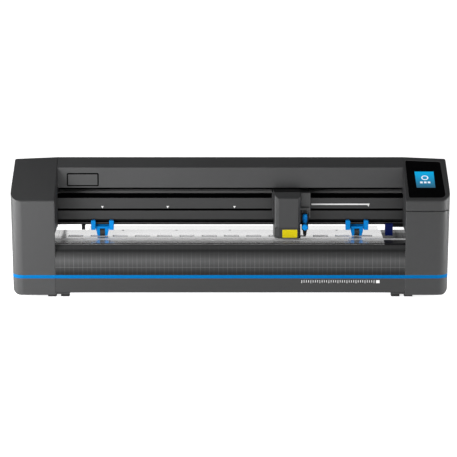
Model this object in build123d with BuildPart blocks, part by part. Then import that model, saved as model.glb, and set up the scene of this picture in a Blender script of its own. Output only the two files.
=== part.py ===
"""Desktop roll-fed sign cutter: a drag-knife carriage on a beam above a platen with grit drums.

Millimetres. X runs along the beam, the operator stands at -Y, +Z is up and the floor is Z = 0.
"""

import os
from math import atan2, cos, sin

from build123d import *

# Whole machine
WIDTH = 1056.0  # across the shoulders, the widest place
DEPTH = 380.0
HEIGHT = 322.0
FRONT_Y = -DEPTH / 2
REAR_Y = DEPTH / 2
WALL = 3.0
FIT = 0.2  # gap between two housings that meet
RUN = 0.1  # radial gap of a pin in its hole

# Towers at both ends
TOWER_W = 107.0
LEAN = 2.7  # how far a tower's outer side leans out between the floor and the shoulder
ROOF_TILT = 5.0  # how far the roof ridge falls from the inner to the outer side
INNER_X = WIDTH / 2 - TOWER_W
BODY_Z = 9.0  # underside of the housings, above the feet
SHOULDER_Z = 240.0  # where the vertical front meets the sloping top
APEX_Y = -50.0
ROOF_REAR = (120.0, 276.0)
BACK_TOP_Z = 205.0
CORNER_R = 28.0
LOW_CORNER_R = 16.5
PROUD = 0.02  # keeps faces of crossing outlines from lying in one plane
SEAM_Z = 214.6  # joint between the right tower and its control housing
SEAM_GAP = 1.4

# Centre covers
CREASE_Y = -84.0
COVER_LOW_Z = 252.5
COVER_T = 2.5
COVER_BACK_Y = 60.0
PANEL_T = 2.5
STRIPE_Z = (50.2, 58.3)
PANEL_LOW_Z = 15.0
APRON_R = 40.0

# Media path
PLATEN_Z = 133.0
PLATEN_FRONT_Y = -172.0
PLATEN_REAR_Y = -15.0
PLATEN_RIGHT_X = 372.0
PLATEN_T = 4.0
KNIFE_Y = -125.0
DRUM_Y = -88.0
DRUM_R = 12.0
DRUM_Z = PLATEN_Z + 0.3 - DRUM_R
SLOT_PITCH = 54.4
SLOT_COUNT = 14
SLOT_FIRST_X = -377.8
TABLE_X = (-352.0, 368.0)

# Beam that carries the knife carriage
BEAM_FRONT_Y = -88.0
BEAM_BACK_Y = -30.0
BEAM_Z = (161.3, 227.4)
FRAME_X = 436.0  # inner faces of the side frames
FRAME_T = 4.0

# Carriage belt on two upright pulleys
PULLEY_X = 468.0
PULLEY_Y = -38.0
PULLEY_R = 10.0
BELT_Z = (231.0, 237.0)
BELT_T = 1.4

# Carriage
CAR_X = (101.5, 194.8)
COVER_X = (104.2, 170.0)
CAR_FRONT_Y = -150.0
CAR_TOP_Z = 250.5
CAR_SPLIT_Z = 165.5
CAR_LOW_Z = 140.0
KNIFE_X = 181.0
ROLLER_R = 7.0

# Pinch rollers and their lift
PINCH_X = {"left": -312.0, "right": 309.0}
PINCH_R = 9.3
PIVOT = (-56.0, 155.0)
AXLE = (DRUM_Y, PLATEN_Z + 0.6 + PINCH_R)
LIFT = (-42.0, 156.0)
LEVER = (-94.0, 160.5)
LEVER_X = 387.0
CRANK = 16.0

# Drum drive
MOTOR = (-5.0, 72.0)
MOTOR_SIZE = 56.0
DRUM_PULLEY_R = 19.0
MOTOR_PULLEY_R = 9.5
DRIVE_X = (426.0, 434.0)

os.makedirs("parts", exist_ok=True)


def save(part, name):
    """Writes one finished piece, or one group of equal pieces, under its node's name."""
    part.label = name
    export_step(part, f"parts/{name}.step")


def slab(low, high, mode=Mode.ADD):
    """A block given by two opposite corners."""
    size = [b - a for a, b in zip(low, high)]
    with Locations(tuple((a + b) / 2 for a, b in zip(low, high))):
        Box(*size, mode=mode)


def bar(x0, x1, y, z, radius, mode=Mode.ADD):
    """A round bar along X."""
    with Locations(Location(((x0 + x1) / 2, y, z), (0, 90, 0))):
        Cylinder(radius, x1 - x0, mode=mode)


def prism(points, x0, x1, mode=Mode.ADD):
    """A section in Y and Z, extruded along X from x0 to x1."""
    with BuildSketch(Plane.YZ.offset(x0)) as section:
        Polygon(*points, align=None)
    extrude(section.sketch, amount=x1 - x0, mode=mode)


def post(x, y, z0, z1, radius, mode=Mode.ADD):
    """A round post along Z."""
    with Locations((x, y, (z0 + z1) / 2)):
        Cylinder(radius, z1 - z0, mode=mode)


def spindle(x, z, y0, y1, radius, mode=Mode.ADD):
    """A round bar along Y."""
    with Locations(Location((x, (y0 + y1) / 2, z), (90, 0, 0))):
        Cylinder(radius, y1 - y0, mode=mode)


# ---------------------------------------------------------------- housings


def tower_form(inset, inner_x):
    """The right tower's outer form, or the space inside it at a given wall."""
    outer_x = WIDTH / 2 - inset
    base_x = outer_x - LEAN
    roof_fall = (HEIGHT - ROOF_REAR[1]) / (ROOF_REAR[0] - APEX_Y)
    with BuildPart() as form:
        with BuildSketch(Plane.YZ.offset(inner_x)) as section:
            Polygon(
                (FRONT_Y, BODY_Z),
                (FRONT_Y, SHOULDER_Z),
                (APEX_Y, HEIGHT),
                ROOF_REAR,
                (REAR_Y, BACK_TOP_Z),
                (REAR_Y, BODY_Z),
                align=None,
            )
            offset(amount=-inset, kind=Kind.INTERSECTION)
            fillet(section.vertices().group_by(Axis.X)[0].sort_by(Axis.Y)[-1], 6)
            fillet(section.vertices().group_by(Axis.X)[-1].sort_by(Axis.Y)[-1], 20)
        extrude(amount=WIDTH / 2 - inner_x)
        # seen from above: two round corners that lean out with the side
        with BuildSketch() as plan:
            with Locations(((inner_x - 20 + base_x) / 2, 0)):
                Rectangle(base_x - inner_x + 20, DEPTH - 2 * inset + PROUD)
            fillet(plan.vertices().group_by(Axis.X)[-1], CORNER_R - inset)
        extrude(plan.sketch, amount=1.1 * HEIGHT, dir=(LEAN, 0, SHOULDER_Z), mode=Mode.INTERSECT)
        # seen from the front: the round corner at the foot
        with BuildSketch(Plane.XZ.offset(-REAR_Y)) as front:
            Polygon(
                (inner_x, BODY_Z + inset),
                (base_x + 0.1, BODY_Z + inset),
                (outer_x + 2, SHOULDER_Z),
                (outer_x + 2, 2 * HEIGHT),
                (inner_x, 2 * HEIGHT),
                align=None,
            )
            fillet(front.vertices().sort_by(Axis.Y)[:2].sort_by(Axis.X)[-1], LOW_CORNER_R - inset)
        extrude(front.sketch, amount=DEPTH, mode=Mode.INTERSECT)
        # seen along the roof: the ridge that falls outwards and the side above the shoulder
        with BuildSketch(Plane.XZ.offset(-ROOF_REAR[0])) as roof:
            ridge_z = ROOF_REAR[1] - inset
            Polygon(
                (inner_x, -HEIGHT),
                (outer_x + 40, -HEIGHT),
                (outer_x + LEAN, ridge_z - 2 * (HEIGHT - SHOULDER_Z)),
                (outer_x - LEAN, ridge_z - ROOF_TILT),
                (inner_x, ridge_z),
                align=None,
            )
            fillet(roof.vertices().sort_by(Axis.Y)[-2:].sort_by(Axis.X)[-1], 4 - inset)
        reach = 1.1 * (ROOF_REAR[0] - FRONT_Y)
        extrude(roof.sketch, amount=reach, dir=(0, -1, roof_fall), both=True, mode=Mode.INTERSECT)
    return form.part


def tower_shell():
    """Right tower housing, open towards the middle of the machine."""
    with BuildPart() as shell:
        add(tower_form(0, INNER_X))
        add(tower_form(WALL, INNER_X - 1), mode=Mode.SUBTRACT)
    return shell.part


def tower_wall():
    """Right tower's inner wall, with the openings for the beam, belt, shafts and lift."""
    with BuildPart() as panel:
        add(tower_form(WALL + FIT, INNER_X))
        slab((INNER_X + PANEL_T, FRONT_Y, 0), (WIDTH, REAR_Y, HEIGHT), Mode.SUBTRACT)
        slab((0, BEAM_FRONT_Y - 1, BEAM_Z[0] - 1), (WIDTH, BEAM_BACK_Y + 1, RAIL_TOP_Z + 1), Mode.SUBTRACT)
        slab((0, PULLEY_Y - 14, BELT_Z[0] - 2), (WIDTH, PULLEY_Y + 14, BELT_Z[1] + 2), Mode.SUBTRACT)
        bar(400, 440, DRUM_Y, DRUM_Z, 9, Mode.SUBTRACT)
        bar(400, 440, *LEVER, 5.5, Mode.SUBTRACT)
        bar(400, 440, *LIFT, 6.5, Mode.SUBTRACT)
    return panel.part


def stripe_belt():
    """The band around the right tower where the coloured stripe is let in."""
    with BuildPart() as band:
        add(tower_form(0, INNER_X))
        add(tower_form(STRIPE_T, INNER_X - 1), mode=Mode.SUBTRACT)
        slab((0, FRONT_Y, 0), (WIDTH, REAR_Y, STRIPE_Z[0]), Mode.SUBTRACT)
        slab((0, FRONT_Y, STRIPE_Z[1]), (WIDTH, REAR_Y, HEIGHT), Mode.SUBTRACT)
    return band.part


RAIL_TOP_Z = BEAM_Z[1] + 8.0
STRIPE_T = 1.2
tower_stripe = stripe_belt()

with BuildPart() as accent_stripes:
    add(tower_stripe)
    mirror(about=Plane.YZ)
    slab(
        (-INNER_X + FIT, FRONT_Y, STRIPE_Z[0]),
        (INNER_X - FIT, FRONT_Y + PANEL_T, STRIPE_Z[1]),
    )
save(accent_stripes.part, "accent_stripes")

with BuildPart() as left_tower_shell:
    add(tower_shell())
    add(tower_stripe, mode=Mode.SUBTRACT)
    mirror(about=Plane.YZ, mode=Mode.REPLACE)
save(left_tower_shell.part, "left_tower_shell")

with BuildPart() as inner_walls:
    add(tower_wall())
    mirror(about=Plane.YZ)
save(inner_walls.part, "inner_walls")

# The rear of the right tower takes the power inlet, the rocker and the data sockets.
SERVICE_X = 470.0
INLET_Z = 70.0
ROCKER_Z = 112.0
PORTS_Z = 150.0
INLET_SIZE = (28.0, 20.0)
ROCKER_SIZE = (22.0, 14.0)
PORTS_SIZE = (40.0, 16.0)

with BuildPart() as right_tower_shell:
    add(tower_shell())
    add(tower_stripe, mode=Mode.SUBTRACT)
    slab((0, FRONT_Y, SEAM_Z), (WIDTH, REAR_Y, HEIGHT), Mode.SUBTRACT)
    for z, size in ((INLET_Z, INLET_SIZE), (ROCKER_Z, ROCKER_SIZE), (PORTS_Z, PORTS_SIZE)):
        with Locations((SERVICE_X, REAR_Y, z)):
            Box(size[0], 4 * WALL, size[1], mode=Mode.SUBTRACT)
    with BuildSketch(Plane.XZ.offset(-REAR_Y - 1)):
        with Locations((SERVICE_X, 185)):
            with GridLocations(6, 1, 9, 1):
                SlotOverall(18, 2.4, rotation=90)
    extrude(amount=6, mode=Mode.SUBTRACT)
save(right_tower_shell.part, "right_tower_shell")

# Slope of the tower tops, as a plane whose y runs up the slope.
slope_angle = atan2(HEIGHT - SHOULDER_Z, APEX_Y - FRONT_Y)
slope = Plane(
    origin=(0, FRONT_Y, SHOULDER_Z),
    x_dir=(1, 0, 0),
    z_dir=(0, -sin(slope_angle), cos(slope_angle)),
)
GLASS_CORNERS = ((428.8, 13.0), (516.8, 13.0), (511.5, 143.5), (427.0, 149.0))  # X, way up the slope
GLASS_T = 2.0
LCD_X = (447.0, 496.0)
LCD_S = (46.0, 111.0)  # from and to, up the slope


def on_slope(x, s, grow=0.0):
    """A rectangle on the slope, from its limits in X and up the slope."""
    with Locations(((x[0] + x[1]) / 2, (s[0] + s[1]) / 2)):
        Rectangle(x[1] - x[0] + 2 * grow, s[1] - s[0] + 2 * grow)


def glass_form(grow):
    """The screen glass: three small corners and a large one that follows the tower's corner."""
    with BuildPart() as form:
        with BuildSketch(slope) as outline:
            Polygon(*GLASS_CORNERS, align=None)
            low = outline.vertices().sort_by(Axis.Y)[:2].sort_by(Axis.X)
            high = outline.vertices().sort_by(Axis.Y)[2:]
            fillet([low[0]] + list(high), 4)
            fillet(outline.vertices().sort_by(Axis.Y)[:2].sort_by(Axis.X)[-1], 13)
            if grow > 0:
                offset(amount=grow)
        extrude(amount=-GLASS_T - grow)
    return form.part


with BuildPart() as screen_glass:
    add(glass_form(0))
save(screen_glass.part, "screen_glass")

with BuildPart() as lcd_module:
    with BuildSketch(slope.offset(-GLASS_T - 0.3)):
        on_slope(LCD_X, LCD_S)
    extrude(amount=-4)
save(lcd_module.part, "lcd_module")

with BuildPart() as control_housing:
    add(tower_shell())
    slab((0, FRONT_Y, 0), (WIDTH, REAR_Y, SEAM_Z + SEAM_GAP), Mode.SUBTRACT)
    add(glass_form(FIT), mode=Mode.SUBTRACT)
    with BuildSketch(slope):
        on_slope(LCD_X, LCD_S, 1)
    extrude(amount=-10, mode=Mode.SUBTRACT)
save(control_housing.part, "control_housing")

with BuildPart() as control_board:
    with BuildSketch(slope.offset(-12)):
        on_slope((436, 508), (40, 128))
    extrude(amount=-1.6)
    with BuildSketch(slope.offset(-12)):
        with Locations((440, 120), (504, 120), (440, 48), (504, 48)):
            Circle(2.5)
    extrude(amount=12 - WALL)

# ---------------------------------------------------------------- centre covers
SPAN = INNER_X - FIT
crease_z = SHOULDER_Z + (CREASE_Y - FRONT_Y) * (HEIGHT - SHOULDER_Z) / (APEX_Y - FRONT_Y)
roof_fall = (HEIGHT - ROOF_REAR[1]) / (ROOF_REAR[0] - APEX_Y)
cover_back_z = HEIGHT - (COVER_BACK_Y - APEX_Y) * roof_fall


def bent_sheet(points, thickness, x0, x1, side=Side.RIGHT):
    """A bent sheet along X, thickened to one side of its line of points."""
    with BuildSketch(Plane.YZ.offset(x0)) as section:
        with BuildLine():
            Polyline(*points)
            offset(amount=thickness, side=side, closed=True)
        make_face()
    extrude(section.sketch, amount=x1 - x0)


with BuildPart() as top_cover:
    bent_sheet(
        [
            (CREASE_Y + 9, COVER_LOW_Z),
            (CREASE_Y, COVER_LOW_Z),
            (CREASE_Y, crease_z),
            (APEX_Y, HEIGHT),
            (COVER_BACK_Y, cover_back_z),
            (COVER_BACK_Y, 192),
            (COVER_BACK_Y - 16, 180),
            (BEAM_BACK_Y + 1, 180),
        ],
        COVER_T,
        -SPAN,
        SPAN,
    )
save(top_cover.part, "top_cover")

BADGE_X = (-398.0, -320.5)
BADGE_Z = (256.0, 288.5)

with BuildPart() as badge_plate:
    with BuildSketch(Plane.XZ.offset(-CREASE_Y)) as outline:
        with Locations((sum(BADGE_X) / 2, sum(BADGE_Z) / 2)):
            Rectangle(BADGE_X[1] - BADGE_X[0], BADGE_Z[1] - BADGE_Z[0])
        fillet(outline.vertices(), 3)
    extrude(amount=0.8)
    with BuildSketch(Plane.XZ.offset(-CREASE_Y + 0.8)) as frame:
        with Locations((sum(BADGE_X) / 2, sum(BADGE_Z) / 2)):
            wide, tall = BADGE_X[1] - BADGE_X[0], BADGE_Z[1] - BADGE_Z[0]
            RectangleRounded(wide - 2, tall - 2, 2.5)
            RectangleRounded(wide - 6, tall - 6, 1.5, mode=Mode.SUBTRACT)
    extrude(amount=0.5)
save(badge_plate.part, "badge_plate")

apron_top_z = PLATEN_Z - PLATEN_T
with BuildPart() as front_apron:
    with BuildSketch(Plane.YZ.offset(-SPAN)):
        with BuildLine():
            rise = Line((FRONT_Y, STRIPE_Z[1] + FIT), (FRONT_Y, 95))
            bend = JernArc(rise @ 1, (0, 1), APRON_R, -58)
            lip = Line(bend @ 1, bend @ 1 + (26, 0))
            offset(amount=2, side=Side.RIGHT, closed=True)
        make_face()
    extrude(amount=2 * SPAN)
save(front_apron.part, "front_apron")

with BuildPart() as front_panel:
    slab((-SPAN, FRONT_Y, PANEL_LOW_Z), (SPAN, FRONT_Y + PANEL_T, STRIPE_Z[0] - FIT))
    slab((-SPAN, FRONT_Y, PANEL_LOW_Z), (SPAN, FRONT_Y + 12, PANEL_LOW_Z + PANEL_T))
save(front_panel.part, "front_panel")

# ---------------------------------------------------------------- structure
FRAME_Y = (-165.0, 140.0)


def side_frame():
    """Steel plate inside the right tower that carries the beam, the drum and the lift."""
    with BuildPart() as plate:
        with BuildSketch(Plane.YZ.offset(FRAME_X)) as outline:
            Polygon(
                (FRAME_Y[0], PANEL_LOW_Z + 1),
                (FRAME_Y[0], 130),
                (-110, 245),
                (10, 245),
                (FRAME_Y[1], 110),
                (FRAME_Y[1], PANEL_LOW_Z + 1),
                align=None,
            )
            fillet(outline.vertices(), 8)
        extrude(amount=FRAME_T)
        slab(
            (FRAME_X - 1, PULLEY_Y - 14, BELT_Z[0] - 2),
            (FRAME_X + FRAME_T + 1, PULLEY_Y + 14, BELT_Z[1] + 2),
            Mode.SUBTRACT,
        )
        bar(FRAME_X - 1, FRAME_X + 5, DRUM_Y, DRUM_Z, SHAFT_R + RUN / 2, Mode.SUBTRACT)
        bar(FRAME_X - 1, FRAME_X + 5, *LEVER, LEVER_SHAFT_R + RUN / 2, Mode.SUBTRACT)
        bar(FRAME_X - 1, FRAME_X + 5, *LIFT, LEVER_SHAFT_R + RUN / 2, Mode.SUBTRACT)
        bar(FRAME_X - 1, FRAME_X + 5, *MOTOR, 20, Mode.SUBTRACT)
    return plate.part


SHAFT_R = 6.0
LEVER_SHAFT_R = 4.0

with BuildPart() as side_frames:
    add(side_frame())
    mirror(about=Plane.YZ)
save(side_frames.part, "side_frames")

TRAY_T = 2.0
TRAY_LOW_Z = PANEL_LOW_Z + PANEL_T + FIT
TRAY_Z = TRAY_LOW_Z + TRAY_T
TRAY_REAR_Y = 130.0
SUPPORTS_X = (-404.9, -132.9, 139.1, 400.0)  # ribs under the platen, between drums
with BuildPart() as base_tray:
    bent_sheet(
        [
            (FRONT_Y + PANEL_T + 1, 90),
            (FRONT_Y + PANEL_T + 1, TRAY_LOW_Z),
            (TRAY_REAR_Y, TRAY_LOW_Z),
            (TRAY_REAR_Y, 45),
        ],
        TRAY_T,
        -SPAN + 1,
        SPAN - 1,
        Side.LEFT,
    )
    for x in SUPPORTS_X:
        slab((x - 3, -144, TRAY_Z - 1), (x + 3, -30, PLATEN_Z - PLATEN_T))
        bar(x - 4, x + 4, DRUM_Y, DRUM_Z, 16, Mode.SUBTRACT)
        slab((x - 15, -150, TRAY_Z - 1), (x + 15, -40, TRAY_Z + 2))
save(base_tray.part, "base_tray")

with BuildPart() as rear_apron:
    with BuildSketch(Plane.YZ.offset(-SPAN)):
        with BuildLine():
            top = Line((57.4, 112), (64, 112))
            bend = JernArc(top @ 1, (1, 0), 80, -80)
            tail = Line(bend @ 1, (REAR_Y - 37, PANEL_LOW_Z))
            offset(amount=2, side=Side.RIGHT, closed=True)
        make_face()
    extrude(amount=2 * SPAN)
save(rear_apron.part, "rear_apron")


STAND_X = 408.0
STAND_Y = 110.0
STAND_HOLE_R = 3.0
FOOT_PLATE_X = (389.0, 443.0)
FOOT_PLATE_Z = (6.0, 8.8)
FOOT_X = (400.0, 431.5)
FOOT_Y = (-158.0, 150.0)
FOOT_SIZE = (21.0, 20.0)


def stand_bracket():
    """Steel foot plate under the right end; two tapped holes in line take a stand."""
    with BuildPart() as bracket:
        slab((FOOT_PLATE_X[0], -168, FOOT_PLATE_Z[0]), (FOOT_PLATE_X[1], 168, FOOT_PLATE_Z[1]))
        slab((FOOT_PLATE_X[0], -165, 8), (INNER_X - 2, TRAY_REAR_Y, TRAY_LOW_Z))
        with Locations((STAND_X, -STAND_Y, 0), (STAND_X, STAND_Y, 0)):
            Cylinder(STAND_HOLE_R, 60, mode=Mode.SUBTRACT)
    return bracket.part


with BuildPart() as stand_brackets:
    add(stand_bracket())
    mirror(about=Plane.YZ)
save(stand_brackets.part, "stand_brackets")

with BuildPart() as feet:
    with BuildSketch() as pads:
        with Locations(*[(x * side, y) for x in FOOT_X for y in FOOT_Y for side in (-1, 1)]):
            RectangleRounded(*FOOT_SIZE, 3)
    extrude(amount=FOOT_PLATE_Z[0])
    chamfer(feet.edges().group_by(Axis.Z)[0], 0.8)
save(feet.part, "feet")

# ---------------------------------------------------------------- beam
GROOVES = ((196.0, 201.4, 8.0), (171.2, 175.0, 2.0), (167.2, 171.2, 8.0))  # from Z, to Z, depth
BEAM_WALL = 10.5
RAIL_Y = (-74.0, -66.0)

with BuildPart() as beam:
    slab((-FRAME_X, BEAM_FRONT_Y, BEAM_Z[0]), (FRAME_X, BEAM_BACK_Y, BEAM_Z[1]))
    chamfer(beam.edges().filter_by(Axis.X).group_by(Axis.Z)[0].sort_by(Axis.Y)[0], 2.6)
    slab(
        (-FRAME_X, BEAM_FRONT_Y + BEAM_WALL, BEAM_Z[0] + 3),
        (FRAME_X, BEAM_BACK_Y - 3, BEAM_Z[1] - 3),
        Mode.SUBTRACT,
    )
    for low, high, depth in GROOVES:
        slab((-FRAME_X, BEAM_FRONT_Y - 1, low), (FRAME_X, BEAM_FRONT_Y + depth, high), Mode.SUBTRACT)
    slab((-SPAN + 1, RAIL_Y[0], BEAM_Z[1]), (SPAN - 1, RAIL_Y[1], RAIL_TOP_Z))
save(beam.part, "beam")

RULER_X = 172.4
RULER_Z = (38.5, 46.0)
RULER_STEP = 5.44
RULER_COUNT = 33
RULER_TALL = 4  # every fourth mark is longer
RULER_END_X = (351.3, 359.9)
MARK_T = 0.15
MARKS_X = (-312.0, -152.5, 10.3)
MARK_Z = 201.9
MARK_BAR = ((198.0, 210.2), (339.6, 213.6))

with BuildPart() as printed_marks:
    with BuildSketch(Plane.XZ.offset(-BEAM_FRONT_Y)):
        for x in MARKS_X:
            Polygon((x, MARK_Z), (x + 3, MARK_Z + 5.5), (x - 3, MARK_Z + 5.5), align=None)
        with BuildLine():
            Polyline(
                MARK_BAR[0],
                (MARK_BAR[0][0], MARK_BAR[1][1]),
                MARK_BAR[1],
                (337.5, 205.5),
                (334.5, MARK_BAR[0][1]),
                close=True,
            )
        make_face()
    extrude(amount=MARK_T)
    for index in range(RULER_COUNT):
        low = RULER_Z[0] if index % RULER_TALL == 0 else RULER_Z[0] + 1.5
        x = RULER_X + index * RULER_STEP
        slab((x - 0.6, FRONT_Y - MARK_T, low), (x + 0.6, FRONT_Y, RULER_Z[1]))
    slab(
        (RULER_END_X[0], FRONT_Y - MARK_T, RULER_Z[0]),
        (RULER_END_X[1], FRONT_Y, RULER_Z[1]),
    )
save(printed_marks.part, "printed_marks")

SENSOR_X = (-363.0, -354.0)
with BuildPart() as media_sensor:
    slab((SENSOR_X[0], BEAM_FRONT_Y - 6, 158.5), (SENSOR_X[1], BEAM_FRONT_Y + 10, BEAM_Z[0]))
    slab((SENSOR_X[0] + 0.4, BEAM_FRONT_Y - 5, 149.8), (SENSOR_X[1] - 0.4, BEAM_FRONT_Y + 3, 158.5))
save(media_sensor.part, "media_sensor")

# ---------------------------------------------------------------- platen and drums
SLOTS_X = [SLOT_FIRST_X + index * SLOT_PITCH for index in range(SLOT_COUNT)]
SLOT_SIZE = (36.0, 20.5)
DRUM_LENGTH = 32.0
PLATEN_LEFT_X = -SPAN
STRIP_Y = (KNIFE_Y - 9.0, KNIFE_Y + 9.0)
STRIP_T = 0.8

with BuildPart() as platen:
    slab(
        (PLATEN_LEFT_X, PLATEN_FRONT_Y, PLATEN_Z - PLATEN_T),
        (PLATEN_RIGHT_X - FIT, PLATEN_REAR_Y, PLATEN_Z),
    )
    fillet(platen.edges().filter_by(Axis.X).group_by(Axis.Z)[-1], 0.5)
    chamfer(platen.edges().filter_by(Axis.X).group_by(Axis.Z)[0].sort_by(Axis.Y)[0], 2.8)
    with BuildSketch(Plane.XY.offset(PLATEN_Z + 1)):
        with Locations(*[(x, DRUM_Y) for x in SLOTS_X]):
            RectangleRounded(*SLOT_SIZE, 1.5)
        with Locations(*[(x + SLOT_PITCH / 2, STRIP_Y[0] - 8) for x in SLOTS_X[:-1]]):
            SlotOverall(7.4, 4)
    extrude(amount=-2 * PLATEN_T, mode=Mode.SUBTRACT)
    slab(
        (PLATEN_LEFT_X - 1, STRIP_Y[0], PLATEN_Z - STRIP_T),
        (PLATEN_RIGHT_X, STRIP_Y[1], PLATEN_Z + 1),
        Mode.SUBTRACT,
    )
save(platen.part, "platen")

with BuildPart() as platen_end:
    slab((PLATEN_RIGHT_X, PLATEN_FRONT_Y, PLATEN_Z - PLATEN_T), (SPAN, PLATEN_REAR_Y, PLATEN_Z))
    fillet(platen_end.edges().filter_by(Axis.X).group_by(Axis.Z)[-1], 0.5)
    chamfer(platen_end.edges().filter_by(Axis.X).group_by(Axis.Z)[0].sort_by(Axis.Y)[0], 2.8)
    slab(
        (PLATEN_RIGHT_X - 1, STRIP_Y[0], PLATEN_Z - STRIP_T),
        (SPAN + 1, STRIP_Y[1], PLATEN_Z + 1),
        Mode.SUBTRACT,
    )
save(platen_end.part, "platen_end")

with BuildPart() as cutting_strip:
    slab(
        (PLATEN_LEFT_X, STRIP_Y[0] + 0.3, PLATEN_Z - STRIP_T),
        (SPAN, STRIP_Y[1] - 0.3, PLATEN_Z),
    )
save(cutting_strip.part, "cutting_strip")

with BuildPart() as rear_guide_plate:
    bent_sheet(
        [(PLATEN_REAR_Y + 2, PLATEN_Z - 2), (50, PLATEN_Z - 3), (57, 122), (57, 104)],
        2,
        *TABLE_X,
    )
save(rear_guide_plate.part, "rear_guide_plate")

TABLE_SCREWS_X = [-1.0 + 132.0 * index for index in range(-2, 3)]
TABLE_SCREW_Y = PLATEN_REAR_Y - 6
with BuildPart() as table_screws:
    with BuildSketch(Plane.XY.offset(PLATEN_Z)):
        with Locations(*[(x, TABLE_SCREW_Y) for x in TABLE_SCREWS_X]):
            Circle(2.8)
            RegularPolygon(1.2, 6, mode=Mode.SUBTRACT)
    extrude(amount=0.6)
save(table_screws.part, "table_screws")

with BuildPart() as grit_drums:
    for x in SLOTS_X:
        bar(x - DRUM_LENGTH / 2, x + DRUM_LENGTH / 2, DRUM_Y, DRUM_Z, DRUM_R)
        bar(x - DRUM_LENGTH / 2, x + DRUM_LENGTH / 2, DRUM_Y, DRUM_Z, SHAFT_R, Mode.SUBTRACT)
save(grit_drums.part, "grit_drums")

# ---------------------------------------------------------------- drum drive in the left tower
PULLEY_GAP = 0.35
DRIVE_BELT_T = 1.5
MOTOR_SHAFT_R = 4.0


def belt_loop(plane, centres, radii, thickness, width):
    """A belt around two pulleys, centres and radii given in the plane, extruded by its width."""
    with BuildPart() as belt:
        with BuildSketch(plane):
            with BuildSketch() as run:
                for centre, radius in zip(centres, radii):
                    with Locations(centre):
                        Circle(radius)
                make_hull()
            offset(amount=thickness)
            add(run.sketch, mode=Mode.SUBTRACT)
        extrude(amount=width)
    return belt.part


def flanged_pulley(radius, width, bore):
    """A belt pulley about Z with a thin flange at each end, its lower face at Z = 0."""
    with BuildPart() as wheel:
        post(0, 0, 0, width, radius)
        post(0, 0, 0, 0.8, radius + 2.2)
        post(0, 0, width - 0.8, width, radius + 2.2)
        post(0, 0, -1, width + 1, bore, Mode.SUBTRACT)
    return wheel.part


drive_width = DRIVE_X[1] - DRIVE_X[0]
with BuildPart() as drum_shaft:
    bar(-446, 446, DRUM_Y, DRUM_Z, SHAFT_R)
    with Locations(Location((-DRIVE_X[1], DRUM_Y, DRUM_Z), (0, 90, 0))):
        add(flanged_pulley(DRUM_PULLEY_R, drive_width, SHAFT_R - 1))
save(drum_shaft.part, "drum_shaft")

with BuildPart() as drum_motor_pulley:
    bar(-FRAME_X - FRAME_T - 2.5, -DRIVE_X[0], *MOTOR, MOTOR_SHAFT_R)
    with Locations(Location((-DRIVE_X[1], *MOTOR), (0, 90, 0))):
        add(flanged_pulley(MOTOR_PULLEY_R, drive_width, MOTOR_SHAFT_R - 1))
save(drum_motor_pulley.part, "drum_motor_pulley")

with BuildPart() as drum_belt:
    add(
        belt_loop(
            Plane.YZ.offset(-DRIVE_X[1] + 1.2),
            [(DRUM_Y, DRUM_Z), MOTOR],
            [DRUM_PULLEY_R + PULLEY_GAP, MOTOR_PULLEY_R + PULLEY_GAP],
            DRIVE_BELT_T,
            drive_width - 2.4,
        )
    )
save(drum_belt.part, "drum_belt")

# ---------------------------------------------------------------- carriage drive
belt_width = BELT_Z[1] - BELT_Z[0]
flange = 1.2
with BuildPart() as carriage_motor_pulley:
    with Locations((PULLEY_X, PULLEY_Y, BELT_Z[0] - flange)):
        add(flanged_pulley(PULLEY_R, belt_width + 2 * flange, 1.5))
    post(PULLEY_X, PULLEY_Y, BELT_Z[0] - 10, BELT_Z[1] + flange, 2.5)
save(carriage_motor_pulley.part, "carriage_motor_pulley")

with BuildPart() as carriage_idler_pulley:
    with Locations((-PULLEY_X, PULLEY_Y, BELT_Z[0] - flange)):
        add(flanged_pulley(PULLEY_R, belt_width + 2 * flange, 2.5 + RUN / 2))
save(carriage_idler_pulley.part, "carriage_idler_pulley")

with BuildPart() as carriage_belt:
    add(
        belt_loop(
            Plane.XY.offset(BELT_Z[0]),
            [(-PULLEY_X, PULLEY_Y), (PULLEY_X, PULLEY_Y)],
            [PULLEY_R + PULLEY_GAP, PULLEY_R + PULLEY_GAP],
            BELT_T,
            belt_width,
        )
    )
save(carriage_belt.part, "carriage_belt")

DECK_Z = BELT_Z[0] - flange - 0.5
DECK_T = 3.0


def drive_deck(bore):
    """The bent plate bolted to the right side frame that holds a pulley's axis."""
    with BuildPart() as deck:
        slab(
            (FRAME_X + FRAME_T, PULLEY_Y - 24, DECK_Z - DECK_T),
            (PULLEY_X + 23, PULLEY_Y + 24, DECK_Z),
        )
        slab(
            (FRAME_X + FRAME_T, PULLEY_Y - 24, DECK_Z - 40),
            (FRAME_X + FRAME_T + DECK_T, PULLEY_Y + 24, DECK_Z),
        )
        post(PULLEY_X, PULLEY_Y, DECK_Z - 20, DECK_Z + 1, bore, Mode.SUBTRACT)
    return deck.part


with BuildPart() as belt_brackets:
    add(drive_deck(4))
    mirror(about=Plane.YZ)
    post(-PULLEY_X, PULLEY_Y, DECK_Z - DECK_T, BELT_Z[1] + 3, 2.5)
    post(-PULLEY_X, PULLEY_Y, DECK_Z - DECK_T, DECK_Z, 5)
save(belt_brackets.part, "belt_brackets")

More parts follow.
